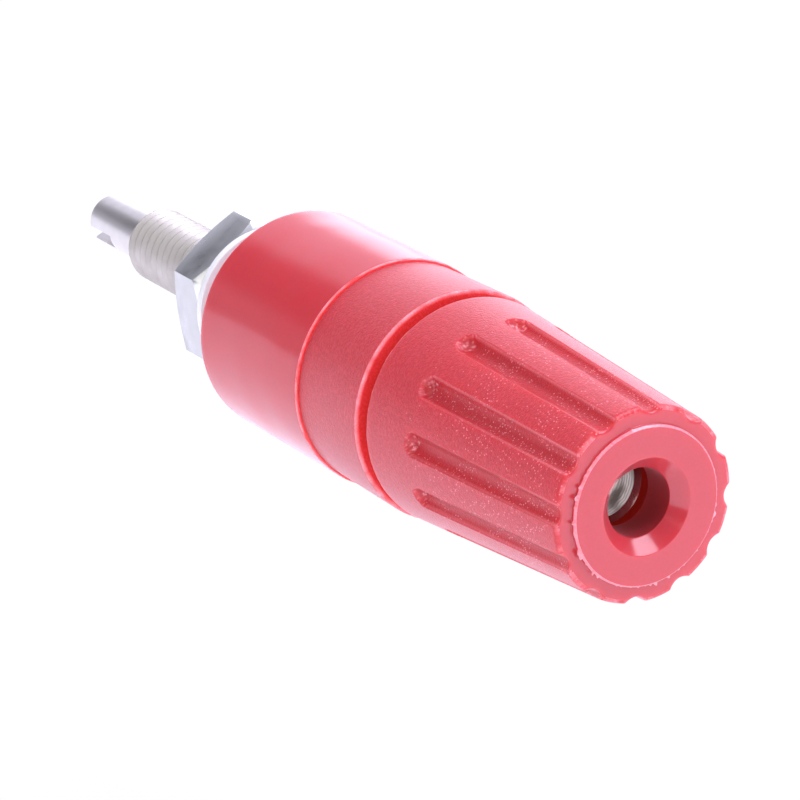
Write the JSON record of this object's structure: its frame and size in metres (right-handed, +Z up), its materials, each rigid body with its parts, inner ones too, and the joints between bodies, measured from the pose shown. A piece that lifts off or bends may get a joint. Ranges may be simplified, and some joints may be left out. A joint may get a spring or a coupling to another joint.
{
  "type": "binding post",
  "caption": "Insulated binding post for 4 mm plugs and bare wire: fluted screw knob, collar and sleeve on a metal post with an M5 stud, nut and slotted solder end.",
  "frame": {"origin": "on the post's axis, at the sleeve's rear face, which seats on the front of a panel", "axes": "+Y along the post's axis towards its solder end, so the knob's face looks towards -Y; +Z up"},
  "size_m": [0.0144, 0.0678, 0.0144],
  "materials": {
    "red_textured_plastic": "satin",
    "red_glossy_plastic": "gloss",
    "plated_brass": "satin",
    "plated_steel": "satin"
  },
  "bodies": {
    "terminal": {"terminal_post": "plated_brass", "collar": "red_textured_plastic", "sleeve": "red_glossy_plastic"},
    "clamp": {"pressure_washer": "plated_brass"},
    "knob": {"knob": "red_textured_plastic", "knob_insert": "plated_brass"},
    "washer": {"lock_washer": "plated_steel"},
    "nut": {"hex_nut": "plated_steel"}
  },
  "joints": [
    {"name": "knob_travel", "type": "slide", "parent": "terminal", "child": "clamp", "axis": [0, -1, 0], "range_m": [-0.0009, 0.0045]},
    {"name": "knob_turn", "type": "hinge", "parent": "clamp", "child": "knob", "pos_m": [0, -0.021, 0], "axis": [0, -1, 0], "range_deg": [-436, 2164]},
    {"name": "nut_travel", "type": "slide", "parent": "terminal", "child": "washer", "axis": [0, 1, 0], "range_m": [-0.0038, 0.012]},
    {"name": "nut_turn", "type": "hinge", "parent": "washer", "child": "nut", "pos_m": [0, 0.00635, 0], "axis": [0, 1, 0], "range_deg": [-1714, 5404]}
  ],
  "couplings": [
    {"joint": "knob_turn", "follows": "knob_travel", "rad_per_m": 8377.6},
    {"joint": "nut_turn", "follows": "nut_travel", "rad_per_m": 7854}
  ]
}
